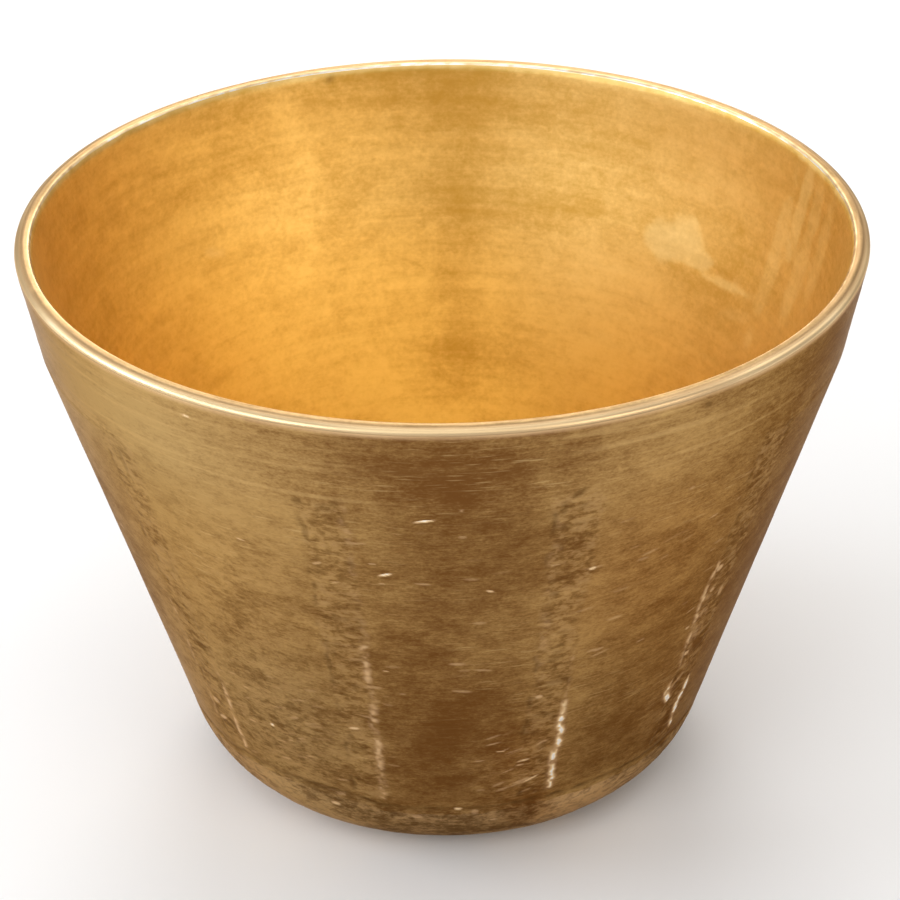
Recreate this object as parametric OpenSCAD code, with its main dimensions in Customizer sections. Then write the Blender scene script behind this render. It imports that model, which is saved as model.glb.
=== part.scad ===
// Heavy brass planter pot: a tapered tub made of a turned rim collar, a ring of wall staves and a
// dished base pan, joined by brazed seams that are dressed flush with the plates.
// The pot stands on z = 0, its axis is +Z and its front faces -Y.

/* [Pot] */
// Outside diameter over the rim
rim_d = 203; // [190:1:260]
// Overall height
pot_h = 146; // [125:1:155]
// Thickness of the brass plate
wall_t = 4; // [2.5:0.1:4.4]

/* [Rim collar] */
// Height of the collar, from the middle of the ring seam to the top of the lip
collar_h = 23; // [15:1:40]
// Flare of the collar, in degrees from upright
collar_flare = 10; // [4:0.5:14]
// Radius of the lip's outer edge
lip_round = 1.3; // [0.5:0.1:1.8]
// Chamfer on the lip's inner edge
lip_chamfer = 0.5; // [0.2:0.1:0.8]

/* [Wall staves] */
// Number of staves round the wall
stave_n = 11; // [9:1:14]
// Flare of the staves, in degrees from upright
wall_flare = 16; // [12:0.5:17]
// Turn of the front stave's middle away from -Y, in degrees
front_turn = 0.75; // [-10:0.25:10]

/* [Seams] */
// Width of an upright seam on the outside, in degrees round the axis
seam_deg = 6.6; // [6.4:0.1:8]
// Bevel of the plate edges along the upright seams, in degrees from square
edge_bevel = 40; // [20:1:40]
// Outside width of the ring seam under the collar
collar_seam_w = 3; // [2.8:0.1:6]
// Outside width of the ring seam above the base pan
base_seam_w = 4; // [2.8:0.1:6]
// Height of the middle of the base ring seam
base_seam_z = 21.5; // [21:0.5:34]

/* [Base pan] */
// Radius of the pan's rounded outer edge
base_round = 23.4; // [15:0.1:24]

/* [Hidden] */
$fn = 180;
eps = 1;  // how far a cutting outline reaches past the plate
ring_bevel = 15;  // bevel of the plate edges along the ring seams

// Middle of the lip's outer rounding
lip_c = [rim_d / 2 - lip_round, pot_h - lip_round];
// Where the outer lines of the collar and of the wall cross
kink = [
    lip_c.x + lip_round / cos(collar_flare) - (lip_c.y - (pot_h - collar_h)) * tan(collar_flare),
    pot_h - collar_h
];
bisector = (wall_flare + collar_flare) / 2;
// Height, below the floor, at which the wall's outer cone closes to a point
cone_z = kink.y - kink.x / tan(wall_flare);
cone_len = kink.x / sin(wall_flare);
// Middle of the pan's outer rounding, which is also the edge of its flat underside
pan_c = [wall_r(base_round) - base_round / cos(wall_flare), base_round];

stave_deg = 360 / stave_n;
front_deg = -90 + front_turn;

// Two-digit names, from the front stave round towards +X
function numbered(base, i) = str(base, "_", i < 10 ? "0" : "", i);
function stave_name(i) = numbered("wall_stave", i);
function seam_name(i) = numbered("upright_seam", i);

// Radius of the wall's outer line at a height
function wall_r(z) = kink.x + (z - kink.y) * tan(wall_flare);
// Radius of the collar's outer line at a height
function collar_r(z) = kink.x + (z - kink.y) * tan(collar_flare);
// A point, given outwards and along the plate, from a point of the outer line where the plate's
// face is tilted by so many degrees from upright
function off_plate(p, tilt, out, up) =
    p + [out * cos(tilt) + up * sin(tilt), up * cos(tilt) - out * sin(tilt)];
// A point on one side, +1 or -1, of a ring seam's V, at a distance outwards from the outer line
function v_side(p, tilt, w, side, out) =
    off_plate(p, tilt, out, side * (w / 2 + out * tan(ring_bevel)));
function collar_v(side, out) = v_side(kink, bisector, collar_seam_w, side, out);
function base_v(side, out) =
    v_side([wall_r(base_seam_z), base_seam_z], wall_flare, base_seam_w, side, out);
deep = -wall_t - eps;  // a depth past the plate's inner face

// The solid inside the pot's outer line, as a half section
module outer_half() {
    polygon([
        [0, 0],
        [pan_c.x, 0],
        pan_c,
        pan_c + base_round * [cos(wall_flare), -sin(wall_flare)],
        kink,
        lip_c + lip_round * [cos(collar_flare), -sin(collar_flare)],
        lip_c,
        [lip_c.x, pot_h],
        [0, pot_h]
    ]);
    translate(pan_c) circle(base_round);
    translate(lip_c) circle(lip_round);
}

// The hollow inside the plate, as a half section that runs out past the lip
module inner_half() {
    inner_round = base_round - wall_t;
    lip_in = collar_r(pot_h) - wall_t / cos(collar_flare);
    polygon([
        [0, wall_t],
        [pan_c.x, wall_t],
        pan_c,
        pan_c + inner_round * [cos(wall_flare), -sin(wall_flare)],
        kink - wall_t / cos(wall_flare - bisector) * [cos(bisector), -sin(bisector)],
        [lip_in, pot_h],
        [lip_in, pot_h + eps],
        [0, pot_h + eps]
    ]);
    translate(pan_c) circle(inner_round);
    // Chamfer on the lip's inner edge
    polygon([
        [lip_in - eps, pot_h - lip_chamfer - eps],
        [lip_in + lip_chamfer + eps, pot_h + eps],
        [lip_in - eps, pot_h + eps]
    ]);
}

// The plate's half section, cut down to its children
module plate_half() {
    intersection() {
        difference() {
            outer_half();
            inner_half();
        }
        children();
    }
}

// Everything above the collar's ring seam
module collar_half() {
    polygon([
        collar_v(1, deep),
        collar_v(1, eps),
        [rim_d / 2 + eps, pot_h + eps],
        [collar_v(1, deep).x, pot_h + eps]
    ]);
}

// Everything between the two ring seams
module stave_half() {
    polygon([collar_v(-1, deep), collar_v(-1, eps), base_v(1, eps), base_v(1, deep)]);
}

// Everything below the base ring seam
module pan_half() {
    polygon([
        [0, base_v(-1, deep).y],
        base_v(-1, deep),
        base_v(-1, eps),
        [base_v(-1, eps).x, -eps],
        [0, -eps]
    ]);
}

// The seam side of one bevelled plate edge, for the seam at +X and its edge on the +Y side. The
// turned frame stands at the wall cone's tip, with its z axis along the bevel's outer line.
module bevel_side() {
    reach = 5 * wall_t;
    translate([0, 0, cone_z]) rotate([0, 0, seam_deg / 2]) rotate([0, wall_flare, 0])
        rotate([0, 0, edge_bevel]) translate([-reach, -reach, cone_len / 4])
            cube([2 * reach, reach, cone_len]);
}

// Turned rim collar, with its flat lip rounded on the outer edge
module rim_collar() {
    color("#d6ab52") rotate_extrude() plate_half() collar_half();
}

// Brazed ring that joins the collar to the tops of the staves
module collar_ring_seam() {
    color("#8a6428") rotate_extrude() plate_half()
        polygon([collar_v(1, deep), collar_v(1, eps), collar_v(-1, eps), collar_v(-1, deep)]);
}

// Wall stave i: a slice of the cone, bevelled along both of its upright edges
module wall_stave(i) {
    color("#b8862f") rotate([0, 0, front_deg + (i - 1) * stave_deg]) difference() {
        rotate([0, 0, -stave_deg / 2]) rotate_extrude(angle = stave_deg) plate_half() stave_half();
        rotate([0, 0, -stave_deg / 2]) bevel_side();
        mirror([0, 1, 0]) rotate([0, 0, -stave_deg / 2]) bevel_side();
    }
}

// Brazed upright seam on the +X-turning side of stave i
module upright_seam(i) {
    slice = seam_deg + 1;
    color("#8a6428") rotate([0, 0, front_deg + (i - 0.5) * stave_deg]) intersection() {
        rotate([0, 0, -slice / 2]) rotate_extrude(angle = slice) plate_half() stave_half();
        bevel_side();
        mirror([0, 1, 0]) bevel_side();
    }
}

// Brazed ring that joins the feet of the staves to the pan
module base_ring_seam() {
    color("#8a6428") rotate_extrude() plate_half()
        polygon([base_v(1, deep), base_v(1, eps), base_v(-1, eps), base_v(-1, deep)]);
}

// Dished pan: flat floor, rounded edge and a short upstand
module base_pan() {
    color("#a8782c") rotate_extrude() plate_half() pan_half();
}

rim_collar();
collar_ring_seam();
for (i = [1:stave_n]) {
    wall_stave(i);
    upright_seam(i);
}
base_ring_seam();
base_pan();
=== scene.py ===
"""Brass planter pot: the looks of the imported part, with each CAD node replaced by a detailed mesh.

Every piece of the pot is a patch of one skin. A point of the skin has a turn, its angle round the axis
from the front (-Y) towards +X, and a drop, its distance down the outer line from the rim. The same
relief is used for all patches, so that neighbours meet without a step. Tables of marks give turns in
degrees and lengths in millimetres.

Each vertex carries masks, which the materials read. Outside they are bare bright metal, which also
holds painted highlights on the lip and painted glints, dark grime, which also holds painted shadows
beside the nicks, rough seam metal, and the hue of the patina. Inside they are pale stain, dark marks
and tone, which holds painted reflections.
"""

import math

import bpy
import numpy as np
from mathutils import Matrix, Vector


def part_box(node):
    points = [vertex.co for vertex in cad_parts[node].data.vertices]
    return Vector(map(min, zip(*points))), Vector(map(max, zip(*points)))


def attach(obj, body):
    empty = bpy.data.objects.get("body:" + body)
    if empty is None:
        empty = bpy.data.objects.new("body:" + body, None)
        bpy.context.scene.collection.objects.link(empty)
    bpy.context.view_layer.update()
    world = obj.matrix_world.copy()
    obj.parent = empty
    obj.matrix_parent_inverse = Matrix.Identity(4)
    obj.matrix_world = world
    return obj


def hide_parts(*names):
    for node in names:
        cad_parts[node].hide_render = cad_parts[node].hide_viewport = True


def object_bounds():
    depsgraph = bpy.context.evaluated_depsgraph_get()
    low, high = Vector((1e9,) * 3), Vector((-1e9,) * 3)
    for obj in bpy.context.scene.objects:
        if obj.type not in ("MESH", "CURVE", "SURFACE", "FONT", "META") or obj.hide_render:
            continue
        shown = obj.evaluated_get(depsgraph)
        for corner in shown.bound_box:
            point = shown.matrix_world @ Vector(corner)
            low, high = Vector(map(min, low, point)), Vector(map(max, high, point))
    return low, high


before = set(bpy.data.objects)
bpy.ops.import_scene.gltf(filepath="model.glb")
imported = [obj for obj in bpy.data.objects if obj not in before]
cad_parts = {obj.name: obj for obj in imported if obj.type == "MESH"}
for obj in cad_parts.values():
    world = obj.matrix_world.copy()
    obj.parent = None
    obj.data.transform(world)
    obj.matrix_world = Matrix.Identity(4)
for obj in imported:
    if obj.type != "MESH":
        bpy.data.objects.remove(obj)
cad_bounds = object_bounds()

# ---------------------------------------------------------------- sizes, in metres, as in the CAD model
MM = 0.001
PLATE = 4 * MM
COLLAR_FLARE = math.radians(10)
WALL_FLARE = math.radians(16)
LIP_ROUND = 1.3 * MM
LIP_CHAMFER = 0.5 * MM
BASE_ROUND = 23.4 * MM
RING_BEVEL = math.radians(15)
EDGE_BEVEL = math.radians(40)
SEAM_HALF = math.radians(3.3)  # half width of an upright seam, as a turn
COLLAR_SEAM_W = 3 * MM
BASE_SEAM_W = 4 * MM
RING_SHIFT = PLATE * math.tan(RING_BEVEL)  # how far a ring joint's bevel shifts its border inside
SEAM_TOP = 19.5 * MM  # drop up to which the dressed upright seams run, a little way on to the collar
INNER_BEND = 14 * MM  # half length of the soft bend inside, where the collar meets the wall

low, high = cad_bounds
HEIGHT = high[2]
RIM_R = (high[1] - low[1]) / 2
seam_low, seam_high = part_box("collar_ring_seam")
KINK_Z = (seam_low.z + seam_high.z) / 2
seam_low, seam_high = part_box("base_ring_seam")
BASE_SEAM_Z = (seam_low.z + seam_high.z) / 2
STAVES = sorted(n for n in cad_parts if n.startswith("wall_stave_"))
SEAMS = sorted(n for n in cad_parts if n.startswith("upright_seam_"))
PITCH = 2 * math.pi / len(STAVES)
FRONT_TURN = math.radians(0.75)  # middle of the front stave

# Corners of the outer line
LIP_C = Vector((RIM_R - LIP_ROUND, HEIGHT - LIP_ROUND))
KINK_R = LIP_C.x + LIP_ROUND / math.cos(COLLAR_FLARE) - (LIP_C.y - KINK_Z) * math.tan(COLLAR_FLARE)
TOP_R = KINK_R + (HEIGHT - KINK_Z) * math.tan(COLLAR_FLARE)
WALL_FOOT_R = KINK_R - (KINK_Z - BASE_ROUND) * math.tan(WALL_FLARE)
PAN_R = WALL_FOOT_R - BASE_ROUND / math.cos(WALL_FLARE)
ROUND_Z = BASE_ROUND * (1 - math.sin(WALL_FLARE))

# Drops at which the outer line changes: collar to wall, wall to rounded edge, edge to underside
KINK = (HEIGHT - KINK_Z) / math.cos(COLLAR_FLARE)
FOOT = KINK + (KINK_Z - ROUND_Z) / math.cos(WALL_FLARE)
FLAT = FOOT + BASE_ROUND * (math.pi / 2 - WALL_FLARE)
END = FLAT + PAN_R
BASE_SEAM = KINK + (KINK_Z - BASE_SEAM_Z) / math.cos(WALL_FLARE)
LIP_DROP = (HEIGHT - LIP_C.y + LIP_ROUND * math.sin(COLLAR_FLARE)) / math.cos(COLLAR_FLARE)
MEAN_R = 82 * MM  # a middling radius, for turning angles into lengths

# Cells of the outer faces, down and round. The inner faces of all but the collar have STEP times fewer
WALL_ROWS, STAVE_COLUMNS, SEAM_COLUMNS = 304, 112, 36
COLLAR_RING_ROWS, BASE_RING_ROWS, RING_COLUMNS = 8, 12, 1080
PAN_ROWS, PAN_COLUMNS = 84, 960
COLLAR_ROWS, COLLAR_INNER_ROWS, COLLAR_COLUMNS = 72, 12, 840
LIP_ARC_POINTS, LIP_FLAT_POINTS = 9, 15
STEP = 4

# Material slots of the faces, and the masks of a vertex without any mark
OUTER_FACE, INNER_FACE, JOINT_FACE, LIP_FACE = range(4)
UNMARKED = [0.0, 0.0, 0.0, 0.5]


# ---------------------------------------------------------------- smooth noise over the skin
def ease(x):
    x = np.clip(x, 0, 1)
    return x * x * (3 - 2 * x)


def bell(x, width):
    return np.exp(-((x / width) ** 2))


def noise(seed, turn, drop, along, down):
    """Smooth noise from -1 to 1 with cells of that length round the pot and down it."""
    count = max(3, round(2 * math.pi * MEAN_R / along))
    rows = int(END / down) + 3
    table = np.random.default_rng(seed).uniform(-1, 1, (rows, count))
    u = np.mod(np.asarray(turn) / (2 * math.pi), 1.0) * count
    v = np.clip(np.asarray(drop) / down, 0, rows - 1.001)
    i, j = np.floor(u).astype(int), np.floor(v).astype(int)
    fu, fv = ease(u - i), ease(v - j)
    i0, i1 = i % count, (i + 1) % count
    upper = table[j, i0] * (1 - fu) + table[j, i1] * fu
    lower = table[j + 1, i0] * (1 - fu) + table[j + 1, i1] * fu
    return upper * (1 - fv) + lower * fv


def layered(seed, turn, drop, along, down, layers):
    """Noise in layers, each half the size and half the strength of the last."""
    total, weight = 0.0, 0.0
    for k in range(layers):
        total = total + noise(seed + k, turn, drop, along / 2**k, down / 2**k) / 2**k
        weight += 1 / 2**k
    return total / weight


def metres(table, *columns):
    """The table, with those of its columns taken from millimetres to metres."""
    return [tuple(v * MM if i in columns else v for i, v in enumerate(row)) for row in table]


def turn_past(turn, degrees):
    """How far a turn is past one given in degrees, the short way round."""
    return np.mod(turn - math.radians(degrees) + math.pi, 2 * math.pi) - math.pi


def clouded(table, turn, drop, radius=MEAN_R):
    """Sum of soft oval clouds, each given by its turn in degrees, drop, half length round the pot, half
    length down it, and strength."""
    total = np.zeros_like(drop)
    for degrees, at, across, down, strength in table:
        du = turn_past(turn, degrees) * radius
        total = total + strength * bell(np.hypot(du / across, (drop - at) / down), 1)
    return total


# ---------------------------------------------------------------- the outer line
def outline(drop):
    """Radius, height and tilt (0 upright, pi/2 facing down) of the outer line."""
    drop = np.asarray(drop, float)
    bend = WALL_FLARE + (drop - FOOT) / BASE_ROUND
    parts = [drop < KINK, drop < FOOT, drop < FLAT]
    radius = np.select(parts, [
        TOP_R - drop * math.sin(COLLAR_FLARE),
        KINK_R - (drop - KINK) * math.sin(WALL_FLARE),
        PAN_R + BASE_ROUND * np.cos(bend),
    ], PAN_R - (drop - FLAT))
    height = np.select(parts, [
        HEIGHT - drop * math.cos(COLLAR_FLARE),
        KINK_Z - (drop - KINK) * math.cos(WALL_FLARE),
        BASE_ROUND * (1 - np.sin(bend)),
    ], 0.0)
    soft = COLLAR_FLARE + (WALL_FLARE - COLLAR_FLARE) * ease((drop - KINK) / (4 * MM) + 0.5)
    tilt = np.select([drop < FOOT, drop < FLAT], [soft, bend], math.pi / 2)
    return radius, height, tilt


def place(turn, drop, out):
    """Points of the pot at a height of out over the outer line."""
    radius, height, tilt = outline(drop)
    r = radius + out * np.cos(tilt)
    z = height - out * np.sin(tilt)
    return np.stack([r * np.sin(turn), -r * np.cos(turn), z], axis=-1)


# ---------------------------------------------------------------- seams
def seam_turn(k):
    """Middle of upright seam k, counted from 0 on the +X side of the front stave."""
    return FRONT_TURN + (k + 0.5) * PITCH


def seam_edge(k, side, drop):
    """Turn of the wandering left (-1) or right (+1) edge of upright seam k."""
    jag = {-1: 0.75, 1: 0.3}[side] * MM
    lane = np.full_like(drop, (k + 0.25 * side) * PITCH)
    wander = noise(40, lane, drop, 9 * MM, 7 * MM) + 0.6 * noise(41, lane, drop, 9 * MM, 2 * MM)
    return seam_turn(k) + side * SEAM_HALF + jag * wander / outline(drop)[0]


def stave_step(turn):
    """How much lower the foot of each stave sits, with a quick change at each upright seam."""
    steps = np.random.default_rng(7).uniform(-0.7, 0.7, len(STAVES)) * MM
    steps[0] = 0.8 * MM  # the front stave reaches lower, and its left neighbour less far down
    steps[-1] = -1.1 * MM
    place_on = np.mod((np.asarray(turn) - FRONT_TURN) / PITCH, len(STAVES))
    here = np.round(place_on).astype(int) % len(STAVES)
    there = (here + np.where(place_on > np.round(place_on), 1, -1)) % len(STAVES)
    share = 0.5 * ease((np.abs(place_on - np.round(place_on)) - 0.44) / 0.06)
    return steps[here] * (1 - share) + steps[there] * share


def ring_edge(ring, side, turn):
    """Drop of the upper (-1) or lower (+1) edge of a ring seam."""
    flat = np.zeros_like(turn)
    if ring == "collar":
        wander = 0.25 * MM * noise(50 + side, turn, flat, 14 * MM, MM)
        return KINK + side * COLLAR_SEAM_W / 2 + wander
    wander = 0.5 * noise(54 + side, turn, flat, 11 * MM, MM)
    wander = wander + 0.35 * noise(57 + side, turn, flat, 2.5 * MM, MM)
    return BASE_SEAM + side * BASE_SEAM_W / 2 + MM * wander + stave_step(turn)


def nearest_seam(turn, drop):
    """For each point: the number of its nearest upright seam, and how far it is past the seam's left
    and right edges, in metres towards +X."""
    k = np.round((turn - FRONT_TURN) / PITCH - 0.5).astype(int)
    radius = outline(drop)[0]
    left, right = np.zeros_like(drop), np.zeros_like(drop)
    for n in np.unique(k):
        m = k == n
        left[m] = (turn[m] - seam_edge(n, -1, drop[m])) * radius[m]
        right[m] = (turn[m] - seam_edge(n, 1, drop[m])) * radius[m]
    return k % len(SEAMS), left, right


# Bright ridges along the edges of the upright seams; the strongest, over 0.75, get a painted glint.
# Seam, side, distance beyond that edge, drops of the start and the end, width, strength
RIDGES = metres([
    (10, 1, -0.3, 16, 72, 1.3, 0.20),
    (10, 1, -0.4, 60, 131, 1.1, 0.46),
    (0, -1, -1.2, 22, 92, 1.5, 0.17),
    (0, 1, 0.0, 70, 93, 0.6, 0.30),
    (0, 1, 0.1, 88, 128, 0.8, 1.15),
    (1, -1, 0.6, 56, 100, 1.0, 0.50),
    (1, -1, -1.8, 66, 108, 2.0, 0.26),
    (1, -1, 0.8, 100, 112, 0.9, 1.50),
    (1, 1, -1.2, 103, 126, 0.8, 1.60),
    (9, 1, -0.6, 93, 128, 0.9, 0.52),
    (9, -1, 0.9, 72, 121, 0.8, 0.30),
    (2, 1, 0.0, 66, 120, 0.7, 0.60),
    (3, 1, 0.0, 60, 96, 0.7, 0.70),
    (4, -1, 0.3, 84, 126, 0.8, 0.45),
    (5, 1, 0.0, 84, 126, 0.7, 0.90),
    (6, 1, 0.0, 40, 100, 0.7, 0.45),
    (7, 1, 0.0, 70, 124, 0.7, 0.80),
    (8, 1, 0.0, 88, 127, 0.7, 0.65),
], 2, 3, 4, 5)

# Nicks, dents and spatter on the outside. Turn in degrees, drop, length round the pot, width, rise
# towards +X per length, depth (negative for a dark pit), brightness. A dent gets a painted shadow
# beside it, and one of brightness over 0.75 a painted glint.
NICKS = metres([
    (-2.6, 25.2, 4.2, 0.60, 0.17, 0.22, 1.0),
    (-8.2, 43.2, 2.8, 0.75, 0.30, 0.22, 0.95),
    (-9.8, 39.8, 1.8, 0.40, 0.10, 0.06, 0.45),
    (-8.8, 46.3, 1.4, 0.40, 0.10, 0.06, 0.45),
    (6.1, 48.7, 1.6, 0.70, -0.25, 0.12, 0.60),
    (2.0, 22.0, 1.0, 0.80, 0.0, 0.06, 0.30),
    (20.6, 45.8, 1.7, 0.80, 0.10, 0.12, 0.75),
    (15.0, 42.3, 2.0, 0.50, 0.0, 0.05, 0.35),
    (-9.6, 77.0, 1.4, 0.40, 0.10, 0.06, 0.50),
    (-7.2, 85.0, 2.0, 0.40, 0.0, 0.04, 0.30),
    (9.6, 107.8, 1.9, 0.50, -0.10, 0.08, 0.60),
    (14.2, 112.6, 3.0, 0.60, 0.20, 0.08, 0.60),
    (13.6, 114.2, 2.0, 0.50, 0.10, 0.06, 0.45),
    (16.2, 120.6, 3.6, 0.80, 0.55, 0.08, 0.65),
    (15.4, 88.6, 1.8, 1.20, 0.0, 0.05, 0.45),
    (-16.6, 100.4, 2.4, 0.80, 0.15, 0.08, 0.65),
    (-17.6, 41.8, 2.2, 0.80, 0.35, 0.05, 0.35),
    (-15.4, 47.5, 1.8, 0.60, 0.35, 0.05, 0.30),
    (2.0, 129.8, 1.9, 0.80, 0.0, 0.08, 0.75),
    (9.4, 135.4, 1.7, 0.80, 0.0, 0.05, 0.45),
    (-6.4, 133.2, 2.6, 1.40, 0.0, 0.04, 0.35),
    (5.4, 131.4, 1.8, 1.80, 0.0, 0.04, 0.30),
    (-24.0, 133.0, 2.4, 1.20, 0.0, 0.06, 0.60),
    (-34.5, 108.5, 1.2, 1.00, 0.0, 0.15, 0.90),
    (-28.8, 39.5, 2.2, 0.45, -0.10, 0.06, 0.50),
    (-32.8, 5.6, 2.0, 0.70, -0.10, 0.10, 0.70),
    (47.6, 65.0, 2.4, 2.00, 0.0, 0.10, 0.50),
    (47.8, 72.4, 1.8, 1.40, 0.0, 0.10, 0.40),
    (51.2, 75.8, 1.8, 3.00, 0.0, 0.10, 0.35),
    (44.2, 82.4, 1.4, 1.00, 0.0, 0.06, 0.45),
    (47.4, 94.0, 1.8, 1.60, 0.0, 0.10, 0.50),
    (-50.8, 112.0, 2.6, 2.00, 0.0, 0.08, 0.45),
    (-50.6, 118.0, 3.4, 1.40, 0.40, 0.08, 0.55),
    (33.6, 4.6, 1.6, 1.40, 0.0, -0.15, 0.6),
    (-18.8, 77.5, 1.4, 4.60, 0.0, -0.12, 0.55),
    (-18.4, 32.0, 1.4, 6.00, 0.0, -0.10, 0.45),
    (-18.8, 22.4, 2.2, 2.20, 0.0, -0.10, 0.45),
    (-13.9, 22.0, 1.8, 1.80, 0.0, -0.10, 0.35),
    (16.8, 20.4, 3.2, 2.00, 0.5, -0.14, 0.55),
    (15.0, 24.0, 1.8, 4.40, 0.0, -0.12, 0.40),
    (15.4, 52.4, 2.2, 2.20, 0.0, -0.10, 0.40),
    (15.2, 61.6, 1.8, 1.60, 0.0, -0.10, 0.35),
    (17.4, 75.6, 4.4, 1.60, 0.3, -0.10, 0.35),
    (-48.6, 30.0, 1.8, 8.00, 0.0, -0.10, 0.35),
    (128.0, 61, 3.2, 0.80, 0.1, 0.15, 0.8),
    (171.0, 88, 2.4, 0.70, -0.1, 0.15, 0.7),
    (214.0, 34, 3.0, 0.60, 0.1, 0.12, 0.8),
], 1, 2, 3, 5)

# Fields of faint short scratches: turn from and to in degrees, drop from and to, rise, number
FIELDS = metres([
    (-44, -19, 88, 130, 0.25, 46),
    (19, 46, 26, 78, 0.15, 30),
    (8, 18, 98, 127, 0.40, 22),
    (-19, 8, 26, 124, 0.0, 26),
    (100, 300, 26, 128, 0.1, 60),
], 2, 3)

# Clouds of coarser, mottled metal on the wall
COARSE = metres([
    (-33, 114, 26, 28, 1.0),
    (-32, 60, 20, 34, 0.55),
    (-56, 92, 14, 34, 0.5),
    (13, 118, 14, 12, 0.45),
    (46, 112, 18, 20, 0.45),
    (150, 112, 30, 20, 0.5),
    (235, 104, 26, 26, 0.5),
], 1, 2, 3)


def seam_relief(turn, drop):
    """Height over the plates of the upright seams, the base ring seam's crease and the pan's coarse
    surface, and their masks: bare, grime and rough."""
    k, left, right = nearest_seam(turn, drop)
    upper = drop - SEAM_TOP
    lower = drop - ring_edge("base", -1, turn)
    fade = noise(58, turn, drop, 6 * MM, 5 * MM) * 2 * MM
    on_wall = ease((upper + fade) / (4 * MM)) * ease(-lower / (1.0 * MM))
    inside = ease((left + 0.6 * fade) / (2.4 * MM) + 0.5) * ease(0.5 - (right + 0.5 * fade) / (2 * MM))
    inside = inside * on_wall

    # Lumpy, pitted metal, with a dark groove along its left border
    lumps = layered(60, turn, drop, 4.6 * MM, 3.0 * MM, 4)
    pits = ease((layered(70, turn, drop, 3.6 * MM, 3.0 * MM, 2) - 0.25) / 0.50)
    height = inside * (0.11 * MM * lumps - 0.10 * MM * pits)

    patchy = ease(layered(80, turn, drop, 5 * MM, 4.5 * MM, 2) * 1.8 + 0.15)
    groove = bell(left, 0.7 * MM) * patchy * on_wall
    height = height - 0.10 * MM * groove

    # Ridges: beaded, broken and weaving, each with a faint halo of rubbed metal
    ridge, halo = np.zeros_like(drop), np.zeros_like(drop)
    weave = 0.45 * MM * noise(91, turn, drop, 12 * MM, 3.4 * MM)
    weave = weave + 0.3 * MM * noise(92, turn, drop, 12 * MM, 1.1 * MM)
    broken = 0.55 + 0.45 * ease(0.7 + 1.1 * noise(93, turn, drop, 12 * MM, 4 * MM))
    for seam, side, beyond, start, end, width, strength in RIDGES:
        run = strength * ease((drop - start) / (9 * MM)) * ease((end - drop) / (3 * MM)) * broken
        across = (right if side > 0 else left) - side * beyond - weave
        ridge = np.where(k == seam, np.maximum(ridge, run * bell(across, width)), ridge)
        halo = np.where(k == seam, np.maximum(halo, run * bell(across, 2.6 * width)), halo)
    beads = 0.7 * noise(90, turn, drop, 1.8 * MM, 1.5 * MM)
    beads = beads + 0.6 * noise(94, turn, drop, 0.9 * MM, 0.8 * MM)
    beads = ease(0.45 + beads + 0.15 * ridge)
    ridge = ridge * (0.2 + 0.8 * beads) * on_wall
    height = height + 0.17 * MM * np.minimum(ridge, 1)

    # Below them the crease of the base ring seam, and the pan
    base_line = drop - (ring_edge("base", -1, turn) + ring_edge("base", 1, turn)) / 2
    crease = bell(base_line, 0.9 * MM) * (0.65 + 0.35 * noise(95, turn, drop, 4 * MM, 3 * MM))
    pan = ease(base_line / (1.5 * MM)) * (0.8 + 0.2 * ease((9 * MM - base_line) / (4 * MM)))
    height = height - 0.24 * MM * crease + 0.12 * MM * pan * lumps

    bare = np.clip(ridge + 0.16 * halo * on_wall - 0.03, 0, 1)
    grime = np.clip(0.6 * groove + 0.40 * inside * pits + crease + 0.25 * pan * pits, 0, 1)
    rough = np.clip(inside + pan + clouded(COARSE, turn, drop), 0, 1)
    return height, bare, grime, rough


def scratches():
    """Faint scratches strewn over the fields, in the form of the nicks' table."""
    draw = np.random.default_rng(17).uniform
    return [
        (draw(left, right), draw(top, bottom), draw(1.5, 5.0) * MM, draw(0.5, 1.0) * MM,
         rise + draw(-0.15, 0.15), 0.015 * MM, draw(0.08, 0.34))
        for left, right, top, bottom, rise, number in FIELDS for _ in range(number)
    ]


def nick_relief(turn, drop):
    """Height and the bare and grime masks of the nicks, pits and scratches. Beside each dent the grime
    mask holds a painted shadow.
    """
    height, bare, grime = (np.zeros_like(drop) for _ in range(3))
    radius = outline(drop)[0]
    for degrees, at, length, width, rise, depth, strength in NICKS + scratches():
        du = turn_past(turn, degrees) * radius
        near = (np.abs(du) < length) & (np.abs(drop - at) < 2 * width + length)
        if not near.any():
            continue
        du, dv = du[near], drop[near] - at + rise * du[near]
        mark = ease((1.5 - np.hypot(du / (length / 2), dv / (width / 2))) / 0.9)
        if depth > 0:
            # A painted shadow beside the dent, put in the grime mask
            shade = ease((1.5 - np.hypot(du / (length / 2), (dv - width) / (width / 2))) / 0.9)
            bare[near] = np.maximum(bare[near], strength * mark)
            grime[near] = np.maximum(grime[near], 0.5 * strength * shade * (1 - mark))
        else:
            grime[near] = np.maximum(grime[near], strength * mark)
        height[near] -= abs(depth) * mark
    return height, bare, grime


def turning(turn, drop):
    """Lathe grooves of the collar, which hardly change round the pot."""
    fine = noise(20, turn, drop, 90 * MM, 0.6 * MM)
    mid = noise(21, turn, drop, 120 * MM, 1.5 * MM)
    wide = noise(22, turn, drop, 200 * MM, 3.6 * MM)
    sides = 0.4 + 0.6 * ease((np.abs(np.degrees(turn_past(turn, 0))) - 5) / 15)
    return sides * (0.010 * MM * fine + 0.028 * MM * mid + 0.050 * MM * wide)


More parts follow.
